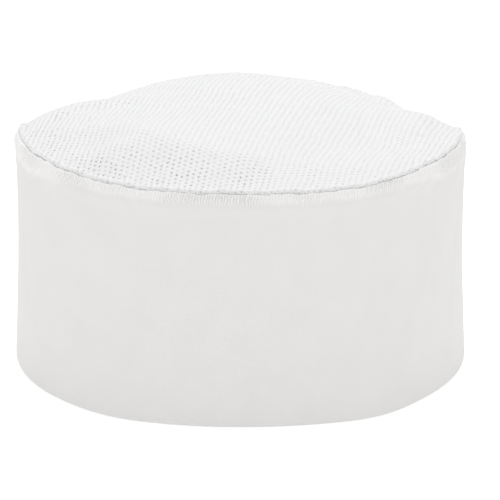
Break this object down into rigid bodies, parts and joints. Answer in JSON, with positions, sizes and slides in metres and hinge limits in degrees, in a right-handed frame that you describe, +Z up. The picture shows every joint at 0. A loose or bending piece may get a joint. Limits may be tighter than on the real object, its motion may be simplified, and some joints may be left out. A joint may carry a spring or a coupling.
{
  "type": "chef skull cap",
  "caption": "Low round chef's cap: a stiff white twill band, a soft knit-mesh crown and a hook-and-loop strap at the back.",
  "frame": {"origin": "centre of the overall box at the level of the hem's lower face", "axes": "+Z up through the crown, +X to the right of a viewer facing the front, -Y towards the front, +Y towards the back strap"},
  "size_m": [0.188, 0.2011, 0.1137],
  "materials": {
    "band_twill": "fine steep twill, matt white",
    "lining_twill": "fine twill, matt white",
    "crown_knit_mesh": "open warp-knit mesh with small round holes in staggered rows",
    "interfacing": "stiff bonded interfacing",
    "terry": "looped terry",
    "thread": "polyester lockstitch thread",
    "cotton_tape": "ribbed cotton tape",
    "hook_tape": "woven tape with nylon hooks",
    "loop_tape": "woven tape with brushed loops",
    "label_satin": "plain satin ribbon"
  },
  "bodies": {
    "cap": {"outer_band": "band_twill", "band_interfacing": "interfacing", "band_lining": "lining_twill", "crown_mesh": "crown_knit_mesh", "crown_seam_thread": "thread", "crown_seam_binding": "cotton_tape", "crown_binding_thread": "thread", "sweatband": "terry", "sweatband_lower_thread": "thread", "sweatband_upper_thread": "thread", "notch_binding": "cotton_tape", "notch_binding_thread": "thread", "closure_strap_root": "band_twill", "strap_bar_tack": "thread", "loop_tape": "loop_tape", "loop_tape_thread": "thread", "care_label_thread": "thread"},
    "strap": {"closure_strap": "band_twill", "closure_strap_interfacing": "interfacing", "strap_hook_tape": "hook_tape", "strap_edge_thread": "thread"},
    "label": {"care_label": "label_satin"}
  },
  "joints": [
    {"name": "strap_peel", "type": "hinge", "parent": "cap", "child": "strap", "pos_m": [0.03123, 0.09533, 0.015], "axis": [0.0099, 0.0537, -0.9985], "range_deg": [0, 150]},
    {"name": "label_flip", "type": "hinge", "parent": "cap", "child": "label", "pos_m": [0, 0.08582, 0.0765], "axis": [-1, 0, 0], "range_deg": [0, 80]}
  ]
}
